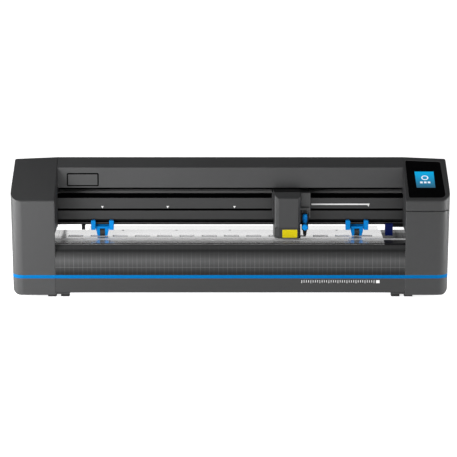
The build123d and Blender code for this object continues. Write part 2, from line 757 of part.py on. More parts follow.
MOTOR_LENGTH = 54.0
with BuildPart() as motors:
    with BuildSketch(Plane.XY.offset(DECK_Z - DECK_T)) as outline:
        with Locations((PULLEY_X, PULLEY_Y)):
            Rectangle(42, 42)
        chamfer(outline.vertices(), 4)
    extrude(amount=-46)
    post(PULLEY_X, PULLEY_Y, DECK_Z - DECK_T - 8, DECK_Z, 3, Mode.SUBTRACT)
    with BuildSketch(Plane.YZ.offset(-FRAME_X - FRAME_T - MOTOR_LENGTH)) as outline:
        with Locations(MOTOR):
            Rectangle(MOTOR_SIZE, MOTOR_SIZE)
        chamfer(outline.vertices(), 5)
    extrude(amount=MOTOR_LENGTH)
    bar(-FRAME_X - FRAME_T - 3, -FRAME_X, *MOTOR, MOTOR_SHAFT_R + 0.4, Mode.SUBTRACT)
save(motors.part, "motors")

# ---------------------------------------------------------------- carriage
ARM_Z = (RAIL_TOP_Z + 4.0, RAIL_TOP_Z + 7.0)
CHASSIS_Y = (BEAM_FRONT_Y - 6.0, BEAM_FRONT_Y - 3.0)
CAR_MID_X = (CAR_X[0] + CAR_X[1]) / 2
ROLLER_Z = (BEAM_Z[1] + 1.2, BEAM_Z[1] + 7.2)
ROLLER_GAP = 0.3
ROLLERS = {
    "left": (CAR_X[0] + 14, RAIL_Y[0] - ROLLER_GAP - ROLLER_R),
    "right": (CAR_X[1] - 14, RAIL_Y[0] - ROLLER_GAP - ROLLER_R),
    "rear": (CAR_MID_X, RAIL_Y[1] + ROLLER_GAP + ROLLER_R),
}
CHASSIS_LOW_Z = 180.0
PIN_R = 2.0

with BuildPart() as carriage_chassis:
    slab((CAR_X[0], CHASSIS_Y[0], ARM_Z[0]), (CAR_X[1] - 3, PULLEY_Y - 5, ARM_Z[1]))
    slab((CAR_X[0], CHASSIS_Y[0], CHASSIS_LOW_Z), (CAR_X[1] - 3, CHASSIS_Y[1], ARM_Z[1]))
    for x, y in ROLLERS.values():
        post(x, y, ROLLER_Z[0] - 0.3, ARM_Z[0], PIN_R)
    belt_front = PULLEY_Y - PULLEY_R - PULLEY_GAP
    slab((CAR_MID_X - 30, belt_front + 0.5, BELT_Z[0]), (CAR_MID_X - 12, PULLEY_Y - 5, ARM_Z[0]))
    slab(
        (CAR_MID_X - 30, belt_front - BELT_T - 3, BELT_Z[0]),
        (CAR_MID_X - 12, belt_front - BELT_T - 0.5, ARM_Z[0]),
    )
save(carriage_chassis.part, "carriage_chassis")

for name, (x, y) in ROLLERS.items():
    with BuildPart() as guide_roller:
        post(x, y, *ROLLER_Z, ROLLER_R)
        post(x, y, ROLLER_Z[0] - 1, ROLLER_Z[1] + 1, PIN_R + RUN / 2, Mode.SUBTRACT)
    save(guide_roller.part, f"guide_roller_{name}")

COVER_BACK = CHASSIS_Y[0]
COVER_WALL = 2.0
COVER_FRONT_X = (116.8, 163.6)
BEVEL = (20.0, 12.4)  # depth and height of the sloping top


def carriage_plan(back_y):
    """The carriage seen from above: a flat front, two cut corners, sides that spread to the back."""
    Polygon(
        (COVER_FRONT_X[0], CAR_FRONT_Y),
        (COVER_FRONT_X[1], CAR_FRONT_Y),
        (COVER_X[1], CAR_FRONT_Y + 6.5),
        (COVER_X[1], back_y),
        (COVER_X[0], back_y),
        (COVER_X[0] + 3.2, CAR_FRONT_Y + 9),
        align=None,
    )


with BuildPart() as carriage_cover:
    with BuildSketch(Plane.XY.offset(CAR_SPLIT_Z + 0.6)):
        carriage_plan(COVER_BACK)
    extrude(amount=CAR_TOP_Z - CAR_SPLIT_Z - 0.6)
    prism(
        [
            (CAR_FRONT_Y - 1, CAR_TOP_Z - BEVEL[1] - BEVEL[1] / BEVEL[0]),
            (CAR_FRONT_Y + BEVEL[0] + 5, CAR_TOP_Z + 5 * BEVEL[1] / BEVEL[0]),
            (CAR_FRONT_Y - 1, CAR_TOP_Z + 10),
        ],
        COVER_X[0] - 5,
        COVER_X[1] + 5,
        Mode.SUBTRACT,
    )
    rear = carriage_cover.faces().sort_by(Axis.Y)[-1]
    offset(amount=-COVER_WALL, openings=rear)
    slab(
        (COVER_X[0] - 1, -112, CAR_SPLIT_Z),
        (COVER_X[1] + 1, COVER_BACK + 1, CHASSIS_LOW_Z),
        Mode.SUBTRACT,
    )
    slab((COVER_X[1] - 5, -116, 195), (COVER_X[1] + 1, COVER_BACK + 1, 236), Mode.SUBTRACT)
save(carriage_cover.part, "carriage_cover")

BASE_BACK = -106.0
with BuildPart() as carriage_base:
    with BuildSketch(Plane.XY.offset(CAR_LOW_Z)):
        carriage_plan(BASE_BACK)
    extrude(amount=CAR_SPLIT_Z - CAR_LOW_Z)
save(carriage_base.part, "carriage_base")

LABEL_X = (126.0, 162.0)
LABEL_Z = (142.0, 161.5)
with BuildPart() as carriage_label:
    with BuildSketch(Plane.XZ.offset(-CAR_FRONT_Y)):
        with Locations((sum(LABEL_X) / 2, sum(LABEL_Z) / 2)):
            RectangleRounded(LABEL_X[1] - LABEL_X[0], LABEL_Z[1] - LABEL_Z[0], 1.5)
    extrude(amount=0.2)
save(carriage_label.part, "carriage_label")

PLATE_X = (172.4, CAR_X[1])
PLATE_Y = (-104.5, -101.0)

# The tool clamp slides on two upright pins below the ribbed part of the plate; a coil lowers it.
PINS_X = (174.5, 187.5)
PIN_Y = -110.5
SHELF_X = (170.6, 192.0)
RIB_PITCH = 3.8
with BuildPart() as tool_plate:
    slab((PLATE_X[0], PLATE_Y[0], 182), (PLATE_X[1], PLATE_Y[1], 243))
    slab((PLATE_X[0], PLATE_Y[0], 236), (PLATE_X[1], COVER_BACK, 243))
    slab((PLATE_X[0], PLATE_Y[0], 182), (PLATE_X[1], COVER_BACK, 185))
    for index in range(6):
        x = PLATE_X[0] + 0.8 + index * RIB_PITCH
        slab((x, PLATE_Y[0] - 1.2, 208), (x + 1.9, PLATE_Y[0], 242))
    for x in PINS_X:
        post(x, PIN_Y, 172, 204.5, PIN_R)
    slab((SHELF_X[0], PIN_Y - 3.5, 204), (SHELF_X[1], PLATE_Y[0] + 1, 207))
save(tool_plate.part, "tool_plate")

SLIDE_Z = (178.0, 194.0)
with BuildPart() as lift_coil:
    post(138, -124, 184, 214, 13)
    slab((118, -112, 180), (158, -108, 220))
    slab((122, -124, 186), (154, -112, 212))
    slab((130, -108, 196), (146, CHASSIS_Y[0], 206))
save(lift_coil.part, "lift_coil")

CLAMP_Z = (157.0, 171.8)
HOLDER_R = 5.0
KNOB_R = 7.0
KNOB_Z = 165.6
KNOB_BACK_Y = KNIFE_Y - 9.3
STUD_R = 2.0
SLIDE_X = (170.6, 191.4)
SLIDE_FRONT_Y = PIN_Y - 3.5
with BuildPart() as tool_clamp:
    slab((SLIDE_X[0], SLIDE_FRONT_Y, SLIDE_Z[0]), (SLIDE_X[1], PIN_Y + 3.5, SLIDE_Z[1]))
    slab((KNIFE_X - 8, KNIFE_Y - 8, CLAMP_Z[0]), (KNIFE_X + 8, SLIDE_FRONT_Y, CLAMP_Z[1]))
    slab((KNIFE_X - 8, SLIDE_FRONT_Y - 2.5, CLAMP_Z[0]), (KNIFE_X + 8, SLIDE_FRONT_Y, SLIDE_Z[1]))
    for x in PINS_X:
        post(x, PIN_Y, SLIDE_Z[0] - 1, SLIDE_Z[1] + 1, PIN_R + RUN / 2, Mode.SUBTRACT)
    post(KNIFE_X, KNIFE_Y, CLAMP_Z[0] - 1, CLAMP_Z[1] + 1, HOLDER_R, Mode.SUBTRACT)
    slab(
        (KNIFE_X + 5.6, KNIFE_Y - 9, CLAMP_Z[0] - 1),
        (KNIFE_X + 6.8, KNIFE_Y + 2, CLAMP_Z[1] + 1),
        Mode.SUBTRACT,
    )
    spindle(KNIFE_X, KNOB_Z, KNIFE_Y - 10, KNIFE_Y - 4, STUD_R + RUN / 2, Mode.SUBTRACT)
save(tool_clamp.part, "tool_clamp")

with BuildPart() as clamp_knob:
    spindle(KNIFE_X, KNOB_Z, KNIFE_Y - 20, KNOB_BACK_Y, KNOB_R)
    chamfer(clamp_knob.faces().sort_by(Axis.Y)[0].edges(), 1.5)
    spindle(KNIFE_X, KNOB_Z, KNOB_BACK_Y - 1, KNIFE_Y - 6, STUD_R)
save(clamp_knob.part, "clamp_knob")

CAP_Z = 173.0
CAP_HEIGHT = 22.0
STEM_R = 1.5
NOSE_Z = PLATEN_Z + 8
with BuildPart() as knife_holder:
    with BuildSketch(Plane.XZ.offset(-KNIFE_Y)):
        with Locations((KNIFE_X, 0)):
            Polygon(
                (0, NOSE_Z),
                (3, NOSE_Z),
                (HOLDER_R, NOSE_Z + 11),
                (HOLDER_R, CAP_Z - 0.3),
                (STEM_R, CAP_Z - 0.3),
                (STEM_R, CAP_Z + 12),
                (0, CAP_Z + 12),
                align=None,
            )
    revolve(axis=Axis((KNIFE_X, KNIFE_Y, 0), (0, 0, 1)))
    post(KNIFE_X, KNIFE_Y, PLATEN_Z + 7, PLATEN_Z + 22, 1 + RUN / 2, Mode.SUBTRACT)
save(knife_holder.part, "knife_holder")

with BuildPart() as knife_cap:
    with Locations((KNIFE_X, KNIFE_Y, CAP_Z + CAP_HEIGHT / 2)):
        Cone(4.6, 6, CAP_HEIGHT)
    fillet(knife_cap.faces().sort_by(Axis.Z)[-1].edges(), 3)
    post(KNIFE_X, KNIFE_Y, CAP_Z - 1, CAP_Z + 12.4, STEM_R + RUN / 2, Mode.SUBTRACT)
save(knife_cap.part, "knife_cap")

with BuildPart() as knife_blade:
    post(KNIFE_X, KNIFE_Y, PLATEN_Z + 8, PLATEN_Z + 21.5, 1)
    with BuildSketch(Plane.XZ.offset(-KNIFE_Y)):
        Polygon(
            (KNIFE_X - 0.9, PLATEN_Z + 8),
            (KNIFE_X + 0.9, PLATEN_Z + 8),
            (KNIFE_X + 0.3, PLATEN_Z + 6),
            align=None,
        )
    extrude(amount=0.3, both=True)
save(knife_blade.part, "knife_blade")

# ---------------------------------------------------------------- pinch rollers and lift
EAR_W = 10.8
EARS_SPAN = 55.0
BODY_W = 31.0
ROLLER_W = 11.8
AXLE_HALF = 10.6
EAR_Z = (150.6, 173.8)
EAR_Y = (-101.0, -90.0)
HOOK_Z = (167.6, 170.4)
BRIDGE_Z = (158.6, 160.8)


def pinch_slider(x):
    """The bracket that hooks in the beam's lower groove with two ears and carries one pinch arm."""
    with BuildPart() as slider:
        for side in (-1, 1):
            centre = x + side * (EARS_SPAN - EAR_W) / 2
            slab((centre - EAR_W / 2, EAR_Y[0], EAR_Z[0]), (centre + EAR_W / 2, EAR_Y[1] + 1.6, EAR_Z[1]))
            cheek = x + side * (BODY_W / 2 + 2.4)
            slab((cheek - 1.5, EAR_Y[1], PIVOT[1] - 4.5), (cheek + 1.5, PIVOT[0] + 5, BRIDGE_Z[1]))
        fillet(slider.edges().filter_by(Axis.Y).group_by(Axis.Z)[-1], 3)
        for side in (-1, 1):
            centre = x + side * (EARS_SPAN - EAR_W) / 2
            left, right = centre - EAR_W / 2, centre + EAR_W / 2
            slab((left, EAR_Y[1], HOOK_Z[0]), (right, BEAM_FRONT_Y + 5, HOOK_Z[1]))
            slab((left, EAR_Y[1], BRIDGE_Z[0] - 5), (right, -82, BRIDGE_Z[1]))
        slab((x - EARS_SPAN / 2, -86, BRIDGE_Z[0]), (x + EARS_SPAN / 2, PIVOT[0] + 5, BRIDGE_Z[1]))
        bar(x - BODY_W / 2 - 4, x + BODY_W / 2 + 4, *PIVOT, PIN_R)
    return slider.part


def pinch_arm(x):
    """The arm between the ears: a head in front of the beam, two legs and a tail under the lift bar."""
    with BuildPart() as arm:
        section = [
            (EAR_Y[0] + 0.5, 158.2),
            (EAR_Y[0] + 0.5, 146),
            (AXLE[0] - 7, LEG_LOW_Z),
            (AXLE[0] + 4, LEG_LOW_Z),
            (AXLE[0] + 7, AXLE[1] + 3),
            (PIVOT[0], PIVOT[1] - 5),
            (LIFT[0] + 5, LIFT[1] - 6.2),
            (LIFT[0] + 5, LIFT[1] - 2.9),
            (LIFT[0] - 4, LIFT[1] - 2.9),
            (PIVOT[0] + 2, PIVOT[1] + 2.9),
            (PIVOT[0] - 4, PIVOT[1] + 2.9),
            (-86, 155.2),
            (-90.5, 155.2),
            (-92, 158.2),
        ]
        prism(section, x - BODY_W / 2, x + BODY_W / 2)
        with BuildSketch(Plane.XZ.offset(-EAR_Y[0] - 5)):
            Polygon(
                (x - BODY_W / 2, 170),
                (x - BODY_W / 2, 150),
                (x - LEG_LOW_W / 2, LEG_LOW_Z - 1),
                (x + LEG_LOW_W / 2, LEG_LOW_Z - 1),
                (x + BODY_W / 2, 150),
                (x + BODY_W / 2, 170),
                align=None,
            )
        extrude(amount=-80, mode=Mode.INTERSECT)
        slab(
            (x - ROLLER_W / 2 - 0.3, EAR_Y[0] - 1, 120),
            (x + ROLLER_W / 2 + 0.3, AXLE[0] + PINCH_R + 1, AXLE[1] + PINCH_R + 1),
            Mode.SUBTRACT,
        )
        bar(x - 30, x + 30, *PIVOT, PIN_R + RUN / 2, Mode.SUBTRACT)
    return arm.part


LEG_LOW_Z = 134.8
LEG_LOW_W = 23.5

for side, x in PINCH_X.items():
    save(pinch_slider(x), f"pinch_slider_{side}")
    with BuildPart() as arm_body:
        add(pinch_arm(x))
        bar(x - AXLE_HALF - 0.2, x + AXLE_HALF + 0.2, *AXLE, PIN_R + RUN / 2, Mode.SUBTRACT)
    save(arm_body.part, f"pinch_arm_{side}")
    with BuildPart() as pinch_roller:
        bar(x - ROLLER_W / 2, x + ROLLER_W / 2, *AXLE, PINCH_R)
        bar(x - AXLE_HALF, x + AXLE_HALF, *AXLE, PIN_R)
    save(pinch_roller.part, f"pinch_roller_{side}")

CRANK_X = (442.0, 445.0)
LINK_X = (445.6, 448.6)

with BuildPart() as lift_bar:
    with BuildSketch(Plane.YZ.offset(-FRAME_X + 1)):
        with Locations(LIFT):
            SlotOverall(7.4, 4)
    extrude(amount=2 * FRAME_X - 2)
    for side in (-1, 1):
        x0, x1 = sorted((side * (FRAME_X - 3), side * CRANK_X[1]))
        bar(x0, x1, *LIFT, LEVER_SHAFT_R)
    with BuildSketch(Plane.YZ.offset(CRANK_X[0])):
        with Locations((LIFT[0], LIFT[1] + CRANK / 2)):
            SlotCenterToCenter(CRANK, 9, rotation=90)
    extrude(amount=CRANK_X[1] - CRANK_X[0])
    bar(CRANK_X[1] - 1, LINK_X[1] + 0.8, LIFT[0], LIFT[1] + CRANK, PIN_R)
save(lift_bar.part, "lift_bar")

with BuildPart() as lift_lever:
    bar(LEVER_X - 6, CRANK_X[1], *LEVER, LEVER_SHAFT_R)
    bar(LEVER_X - 9.5, LEVER_X + 9.5, *LEVER, 5.2)
    prism(
        [
            (LEVER[0] - 5, LEVER[1]),
            (LEVER[0] + 5, LEVER[1]),
            (LEVER[0] + 3, PLATEN_Z + 5),
            (LEVER[0] - 5, PLATEN_Z + 3),
        ],
        LEVER_X - 9.5,
        LEVER_X + 9.5,
    )
    with BuildSketch(Plane.YZ.offset(CRANK_X[0])):
        with Locations((LEVER[0], LEVER[1] + CRANK / 2)):
            SlotCenterToCenter(CRANK, 9, rotation=90)
    extrude(amount=CRANK_X[1] - CRANK_X[0])
    bar(CRANK_X[1] - 1, LINK_X[1] + 0.8, LEVER[0], LEVER[1] + CRANK, PIN_R)
save(lift_lever.part, "lift_lever")

with BuildPart() as lift_link:
    with BuildSketch(Plane.YZ.offset(LINK_X[0])):
        link_ends = ((LEVER[0], LEVER[1] + CRANK), (LIFT[0], LIFT[1] + CRANK))
        for end in link_ends:
            with Locations(end):
                Circle(5)
        make_hull()
        for end in link_ends:
            with Locations(end):
                Circle(PIN_R + RUN / 2, mode=Mode.SUBTRACT)
    extrude(amount=LINK_X[1] - LINK_X[0])
save(lift_link.part, "lift_link")

# ---------------------------------------------------------------- electronics
with BuildPart() as power_supply:
    slab((200, -60, TRAY_Z), (360, 38, TRAY_Z + 38))
    with BuildSketch(Plane.XY.offset(TRAY_Z + 38)):
        with Locations((280, -11)):
            with GridLocations(8, 8, 14, 8):
                Circle(2)
    extrude(amount=-1, mode=Mode.SUBTRACT)
save(power_supply.part, "power_supply")

BOARD_Z = TRAY_Z + 9.0
with BuildPart() as main_board:
    slab((-60, -70, BOARD_Z), (120, 50, BOARD_Z + 1.6))
    with Locations((30, -10, 0)):
        with GridLocations(168, 108, 2, 2):
            with Locations((0, 0, (TRAY_Z + BOARD_Z) / 2)):
                Cylinder(3, BOARD_Z - TRAY_Z)

CHIPS = [
    (-20, 10, 28, 28, 2.0),
    (30, 20, 20, 20, 2.0),
    (70, -30, 16, 24, 8.0),
    (70, 10, 16, 24, 8.0),
    (-30, -45, 40, 10, 9.0),
    (30, -50, 30, 10, 9.0),
    (105, 30, 12, 30, 11.0),
]
with BuildPart() as circuit_boards:
    add(main_board.part)
    add(control_board.part)
    for x, y, width, depth, height in CHIPS:
        with Locations((x, y, BOARD_Z + 1.6 + height / 2)):
            Box(width, depth, height)
    with Locations((-45, 35, BOARD_Z + 1.6 + 8), (-45, 15, BOARD_Z + 1.6 + 8)):
        Cylinder(6, 16)
save(circuit_boards.part, "circuit_boards")

socket_y = REAR_Y - WALL
with BuildPart() as power_inlet:
    slab(
        (SERVICE_X - INLET_SIZE[0] / 2 + FIT, socket_y - 18, INLET_Z - INLET_SIZE[1] / 2 + FIT),
        (SERVICE_X + INLET_SIZE[0] / 2 - FIT, REAR_Y, INLET_Z + INLET_SIZE[1] / 2 - FIT),
    )
    with BuildSketch(Plane.XZ.offset(-REAR_Y)) as well:
        with Locations((SERVICE_X, INLET_Z)):
            Rectangle(23.6, 16)
        chamfer(well.vertices().group_by(Axis.Y)[-1], 4)
    extrude(amount=14, mode=Mode.SUBTRACT)
    for x, z in ((-7, -1), (7, -1), (0, 3)):
        slab(
            (SERVICE_X + x - 1, socket_y - 13, INLET_Z + z - 2),
            (SERVICE_X + x + 1, REAR_Y - 4, INLET_Z + z + 2),
        )

ROCKER_PIVOT_Y = REAR_Y - 6.8
ROCKER_PIN = ROCKER_SIZE[1] / 2 - 1.0
with BuildPart() as switch_housing:
    slab(
        (SERVICE_X - ROCKER_SIZE[0] / 2 + FIT, socket_y - 16, ROCKER_Z - ROCKER_SIZE[1] / 2 + FIT),
        (SERVICE_X + ROCKER_SIZE[0] / 2 - FIT, REAR_Y, ROCKER_Z + ROCKER_SIZE[1] / 2 - FIT),
    )
    slab(
        (SERVICE_X - ROCKER_SIZE[0] / 2 + 2, REAR_Y - 13, ROCKER_Z - ROCKER_SIZE[1] / 2 + 2),
        (SERVICE_X + ROCKER_SIZE[0] / 2 - 2, REAR_Y + 1, ROCKER_Z + ROCKER_SIZE[1] / 2 - 2),
        Mode.SUBTRACT,
    )
    pin_z = (ROCKER_Z - ROCKER_PIN - 0.2, ROCKER_Z + ROCKER_PIN + 0.2)
    post(SERVICE_X, ROCKER_PIVOT_Y, *pin_z, 1 + RUN / 2, Mode.SUBTRACT)

half = ROCKER_SIZE[0] / 2 - 4.3
with BuildPart() as power_rocker:
    with BuildSketch(Plane.XY.offset(ROCKER_Z - ROCKER_SIZE[1] / 2 + 2.5)):
        Polygon(
            (SERVICE_X - half, ROCKER_PIVOT_Y + 6.6),
            (SERVICE_X, ROCKER_PIVOT_Y + 4.2),
            (SERVICE_X + half, ROCKER_PIVOT_Y + 4.2),
            (SERVICE_X + half, ROCKER_PIVOT_Y - 1),
            (SERVICE_X + 3, ROCKER_PIVOT_Y - 4),
            (SERVICE_X - 3, ROCKER_PIVOT_Y - 4),
            (SERVICE_X - half, ROCKER_PIVOT_Y),
            align=None,
        )
    extrude(amount=ROCKER_SIZE[1] - 5)
    post(SERVICE_X, ROCKER_PIVOT_Y, ROCKER_Z - ROCKER_PIN, ROCKER_Z + ROCKER_PIN, 1)
save(power_rocker.part, "power_rocker")

with BuildPart() as data_ports:
    slab(
        (SERVICE_X - PORTS_SIZE[0] / 2 + FIT, socket_y - 18, PORTS_Z - PORTS_SIZE[1] / 2 + FIT),
        (SERVICE_X + PORTS_SIZE[0] / 2 - FIT, REAR_Y, PORTS_Z + PORTS_SIZE[1] / 2 - FIT),
    )
    for x, width, height in ((-9, 13, 12), (10, 9, 8)):
        slab(
            (SERVICE_X + x - width / 2, socket_y - 10, PORTS_Z - height / 2),
            (SERVICE_X + x + width / 2, REAR_Y + 1, PORTS_Z + height / 2),
            Mode.SUBTRACT,
        )
        slab(
            (SERVICE_X + x - width / 2 + 3, socket_y - 10, PORTS_Z - 1.5),
            (SERVICE_X + x + width / 2 - 3, REAR_Y - 4, PORTS_Z + 1.5),
        )

with BuildPart() as rear_sockets:
    add(power_inlet.part)
    add(switch_housing.part)
    add(data_ports.part)
save(rear_sockets.part, "rear_sockets")
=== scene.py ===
"""Looks for the desktop roll sign cutter: materials, small moulded details, lights and camera."""

import math

import bmesh
import bpy
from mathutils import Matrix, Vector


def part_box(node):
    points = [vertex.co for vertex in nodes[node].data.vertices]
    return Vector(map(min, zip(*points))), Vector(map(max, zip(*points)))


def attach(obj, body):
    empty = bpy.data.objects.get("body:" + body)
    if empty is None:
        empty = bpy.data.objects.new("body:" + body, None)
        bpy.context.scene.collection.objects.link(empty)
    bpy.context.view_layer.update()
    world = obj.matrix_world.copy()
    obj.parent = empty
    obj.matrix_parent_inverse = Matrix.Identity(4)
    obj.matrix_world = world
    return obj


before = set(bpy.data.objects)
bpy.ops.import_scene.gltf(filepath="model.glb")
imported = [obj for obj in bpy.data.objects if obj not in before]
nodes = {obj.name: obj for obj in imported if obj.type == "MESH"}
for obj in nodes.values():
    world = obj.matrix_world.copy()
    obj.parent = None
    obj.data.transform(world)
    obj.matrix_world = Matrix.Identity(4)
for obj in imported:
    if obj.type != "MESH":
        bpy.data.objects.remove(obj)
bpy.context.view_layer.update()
scene = bpy.context.scene


# ---------------------------------------------------------------- node helpers


def tree_of(name):
    """A new material with an empty node tree, its shader and its object coordinates."""
    mat = bpy.data.materials.new(name)
    mat.use_nodes = True
    tree = mat.node_tree
    tree.nodes.clear()
    out = tree.nodes.new("ShaderNodeOutputMaterial")
    shader = tree.nodes.new("ShaderNodeBsdfPrincipled")
    tree.links.new(shader.outputs[0], out.inputs[0])
    coords = tree.nodes.new("ShaderNodeTexCoord")
    return mat, tree, shader, coords.outputs["Object"]


def scaled(tree, vector, scale):
    """The coordinates stretched by a scale for each axis."""
    node = tree.nodes.new("ShaderNodeMapping")
    node.inputs["Scale"].default_value = scale
    tree.links.new(vector, node.inputs["Vector"])
    return node.outputs[0]


def noise(tree, vector, scale, detail=3.0, rough=0.5):
    """Soft noise between 0 and 1."""
    node = tree.nodes.new("ShaderNodeTexNoise")
    node.inputs["Scale"].default_value = scale
    node.inputs["Detail"].default_value = detail
    node.inputs["Roughness"].default_value = rough
    tree.links.new(vector, node.inputs["Vector"])
    return node.outputs["Fac"]


def spread(tree, value, low, high, start=0.3, stop=0.7):
    """A value mapped to a range."""
    node = tree.nodes.new("ShaderNodeMapRange")
    node.inputs["From Min"].default_value = start
    node.inputs["From Max"].default_value = stop
    node.inputs["To Min"].default_value = low
    node.inputs["To Max"].default_value = high
    tree.links.new(value, node.inputs["Value"])
    return node.outputs[0]


def math_node(tree, operation, first, second=None, clamp=False):
    """One sum on numbers or sockets."""
    node = tree.nodes.new("ShaderNodeMath")
    node.operation = operation
    node.use_clamp = clamp
    for socket, value in zip(node.inputs, (first, second)):
        if value is None:
            continue
        if isinstance(value, (int, float)):
            socket.default_value = value
        else:
            tree.links.new(value, socket)
    return node.outputs[0]


def mix(tree, factor, first, second):
    """A colour mixed from two, each a colour or a socket."""
    node = tree.nodes.new("ShaderNodeMix")
    node.data_type = "RGBA"
    sockets = (node.inputs[0], node.inputs[6], node.inputs[7])
    for socket, value in zip(sockets, (factor, first, second)):
        if isinstance(value, (int, float)):
            socket.default_value = value
        elif isinstance(value, tuple):
            socket.default_value = (*value, 1.0)
        else:
            tree.links.new(value, socket)
    return node.outputs[2]


def bump(tree, shader, height, distance, strength=1.0):
    """Surface relief from a height, over any relief the shader has."""
    node = tree.nodes.new("ShaderNodeBump")
    node.inputs["Distance"].default_value = distance
    node.inputs["Strength"].default_value = strength
    tree.links.new(height, node.inputs["Height"])
    previous = shader.inputs["Normal"].links
    if previous:
        tree.links.new(previous[0].from_socket, node.inputs["Normal"])
    tree.links.new(node.outputs[0], shader.inputs["Normal"])


def axes(tree, vector):
    """The X, Y and Z of some coordinates."""
    node = tree.nodes.new("ShaderNodeSeparateXYZ")
    tree.links.new(vector, node.inputs[0])
    return node.outputs


def parts_of(mat):
    """The node tree, shader and X, Y and Z coordinates of a material made by moulded()."""
    tree = mat.node_tree
    coords = tree.nodes["Texture Coordinate"].outputs["Object"]
    return tree, tree.nodes["Principled BSDF"], axes(tree, coords)


def shade(color, factor):
    """A colour made darker or lighter."""
    return tuple(min(1.0, c * factor) for c in color)


def rounded(tree, shader, radius):
    """Edges that catch the light as if they were rounded."""
    node = tree.nodes.new("ShaderNodeBevel")
    node.samples = 6
    node.inputs["Radius"].default_value = radius
    links = shader.inputs["Normal"].links
    if links:
        bump_node = links[0].from_node
        tree.links.new(node.outputs[0], bump_node.inputs["Normal"])
    else:
        tree.links.new(node.outputs[0], shader.inputs["Normal"])


def moulded(name, color, rough=0.42, grain=1400.0, depth=0.00006, vary=0.10, coat=0.0, shine=0.5):
    """Moulded plastic: a fine spark-eroded grain, slight colour mottling and uneven polish."""
    mat, tree, shader, vector = tree_of(name)
    mottle = noise(tree, vector, 9.0, 4.0)
    dust = noise(tree, vector, 120.0, 2.0)
    base = mix(tree, mottle, shade(color, 1 - vary), shade(color, 1 + vary))
    base = mix(tree, spread(tree, dust, 0.0, 0.12), base, shade(color, 1.5))
    tree.links.new(base, shader.inputs["Base Color"])
    tree.links.new(spread(tree, mottle, rough - 0.05, rough + 0.06), shader.inputs["Roughness"])
    bump(tree, shader, noise(tree, vector, grain, 2.0), depth, 0.6)
    shader.inputs["Coat Weight"].default_value = coat
    shader.inputs["Coat Roughness"].default_value = 0.12
    shader.inputs["Specular IOR Level"].default_value = shine
    return mat


def metal(name, color, rough=0.3, stretch=(4.0, 260.0, 260.0), depth=0.00003, metallic=1.0, vary=0.12):
    """Drawn or brushed metal: fine lines along one axis, patchy polish."""
    mat, tree, shader, vector = tree_of(name)
    lines = noise(tree, scaled(tree, vector, stretch), 6.0, 4.0, 0.6)
    patch = noise(tree, vector, 14.0, 3.0)
    base = mix(tree, lines, shade(color, 1 - vary), shade(color, 1 + vary))
    base = mix(tree, spread(tree, patch, 0.0, 0.25), base, shade(color, 0.8))
    tree.links.new(base, shader.inputs["Base Color"])
    tree.links.new(spread(tree, lines, rough - 0.06, rough + 0.08), shader.inputs["Roughness"])
    bump(tree, shader, lines, depth, 0.5)
    shader.inputs["Metallic"].default_value = metallic
    return mat


def paint(mat, *names):
    """Puts a material on CAD nodes."""
    for name in names:
        nodes[name].data.materials.clear()
        nodes[name].data.materials.append(mat)


def above(tree, value, limit, soft=0.0002):
    """A mask that turns from 0 to 1 where a coordinate passes a limit."""
    return spread(tree, value, 0.0, 1.0, limit - soft, limit + soft)


def below(tree, value, limit, soft=0.0002):
    """A mask that turns from 1 to 0 where a coordinate passes a limit."""
    return spread(tree, value, 1.0, 0.0, limit - soft, limit + soft)


# Where the beam's painted shade starts: height of its lower front face, underside, and depth of its steps.
BEAM_LOWER_FACE_Z = 0.197
BEAM_UNDERSIDE_Z = 0.1637
BEAM_STEP_Y = -0.0872
BEAM_GROOVE_Y = -0.0855


def beam_material():
    """Black anodised extrusion: bright drawn front faces, with painted shade on the lower front face, the
    top, the grooves, the rail and the underside.
    """
    mat, tree, shader, vector = tree_of("beam_anodised")
    x, y, z = axes(tree, vector)
    lines = noise(tree, scaled(tree, vector, (3.0, 400.0, 400.0)), 6.0, 4.0, 0.6)
    front = mix(tree, lines, (0.013, 0.0132, 0.0136), (0.018, 0.0182, 0.0186))
    # Painted shade: the lower front face is darker than the upper one.
    lower = mix(tree, 0.5, front, (0.009, 0.009, 0.0093))
    front = mix(tree, above(tree, z, BEAM_LOWER_FACE_Z), lower, front)
    # Painted shade behind the front faces on the top, grooves and rail, near black past the groove depth.
    step = mix(tree, above(tree, y, BEAM_STEP_Y), front, (0.010, 0.010, 0.0105))
    shaded_top_and_grooves = mix(tree, above(tree, y, BEAM_GROOVE_Y), step, (0.0008, 0.0008, 0.0009))
    # Painted shade on the underside.
    low = mix(tree, above(tree, z, BEAM_UNDERSIDE_Z), (0.004, 0.004, 0.0042), shaded_top_and_grooves)
    tree.links.new(low, shader.inputs["Base Color"])
    tree.links.new(spread(tree, lines, 0.40, 0.50), shader.inputs["Roughness"])
    shine = spread(tree, y, 0.38, 0.0, BEAM_STEP_Y - 0.0002, BEAM_STEP_Y + 0.0002)
    tree.links.new(shine, shader.inputs["Specular IOR Level"])
    bump(tree, shader, lines, 0.00002, 0.5)
    return mat


def end_material():
    """Dark moulded end of the platen, duller towards its front edge."""
    mat = moulded("dark_end", (0.010, 0.010, 0.011), 0.30, 1600, 0.00001)
    tree, shader, (x, y, z) = parts_of(mat)
    tree.links.new(spread(tree, y, 0.02, 0.9, -0.055, -0.015), shader.inputs["Specular IOR Level"])
    return mat


GRIP_END_X = 0.3968


def lever_material():
    """Navy grip; the shaft past the grip's end is near black."""
    mat = moulded("lever_navy", (0.0008, 0.005, 0.058), 0.4, 1500, 0.00003, 0.08, shine=0.08)
    tree, shader, (x, y, z) = parts_of(mat)
    grip = shader.inputs["Base Color"].links[0].from_socket
    color = mix(tree, above(tree, x, GRIP_END_X), grip, (0.002, 0.002, 0.002))
    tree.links.new(color, shader.inputs["Base Color"])
    return mat


POLISH_Z = (0.158, 0.163)  # the polish fades out between these heights


